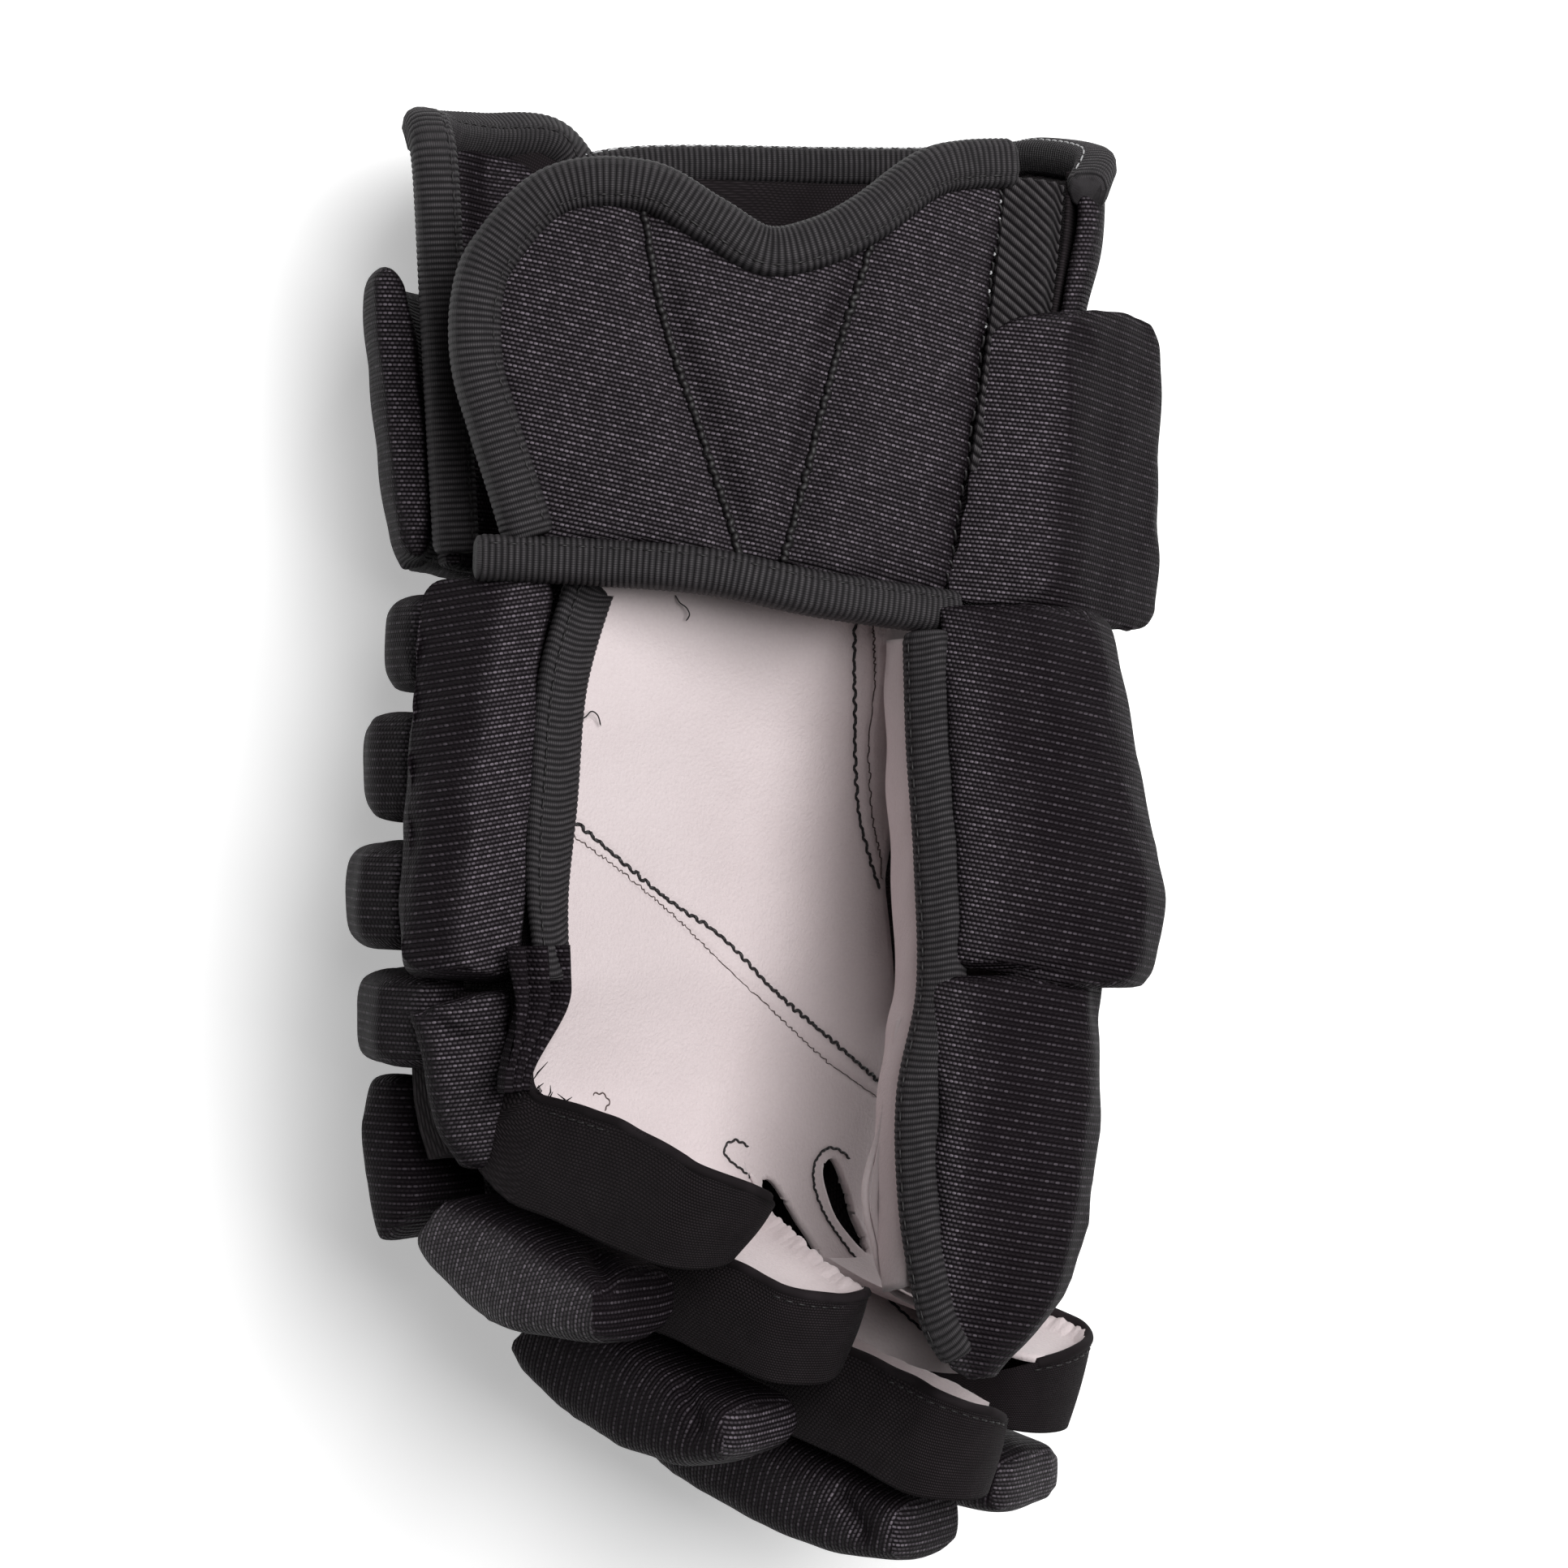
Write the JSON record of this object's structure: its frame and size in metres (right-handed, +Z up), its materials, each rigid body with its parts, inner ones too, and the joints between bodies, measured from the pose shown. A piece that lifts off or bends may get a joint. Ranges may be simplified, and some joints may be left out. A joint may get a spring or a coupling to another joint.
{
  "type": "ice hockey glove",
  "caption": "Left-hand ice hockey glove lying palm up: padded knit rolls and finger pads, a bound cuff panel, a pale leather palm, curled fingers and a hollow cuff and hand.",
  "frame": {"origin": "middle of the bounding box on its lowest face, the surface that the glove lies on", "axes": "+Y along the arm from the fingers to the open cuff, +X to the thumb's side, +Z up, out of the palm"},
  "size_m": [0.1688, 0.293, 0.1405],
  "materials": {
    "knit": "charcoal nylon knit over foam, soft sheen",
    "cloth": "matt black-brown woven and mesh cloth",
    "tape": "ribbed charcoal binding tape",
    "leather": "pale lavender-grey suede, matt"
  },
  "bodies": {
    "root": {"cuff_palm_panel": "knit", "cuff_back_wall": "knit", "cuff_pinky_flap": "knit", "cuff_side_gusset": "cloth", "cuff_roll_thumb": "knit", "cuff_roll_back": "knit", "cuff_roll_pinky": "knit", "hand_shell": "cloth", "palm_leather": "leather", "back_roll_1": "knit", "back_roll_2": "knit", "back_roll_3": "knit", "back_roll_4": "knit", "pinky_side_roll": "knit", "pinky_base_pad": "knit", "little_knuckle_pad": "knit", "little_tip_pad": "knit", "little_gusset": "cloth", "little_leather": "leather", "ring_knuckle_pad": "knit", "ring_tip_pad": "knit", "ring_gusset": "cloth", "ring_leather": "leather", "middle_knuckle_pad": "knit", "middle_tip_pad": "knit", "middle_gusset": "cloth", "middle_leather": "leather", "index_knuckle_pad": "knit", "index_tip_pad": "knit", "index_gusset": "cloth", "index_leather": "leather", "thumb_leather": "leather", "thumb_side_gusset": "cloth", "thumb_base_pad": "knit", "thumb_tip_pad": "knit", "panel_top_binding": "tape", "panel_lower_binding": "tape", "cuff_back_binding": "tape", "pinky_flap_binding": "tape", "palm_binding_pinky": "tape", "thumb_binding": "tape"}
  },
  "joints": []
}
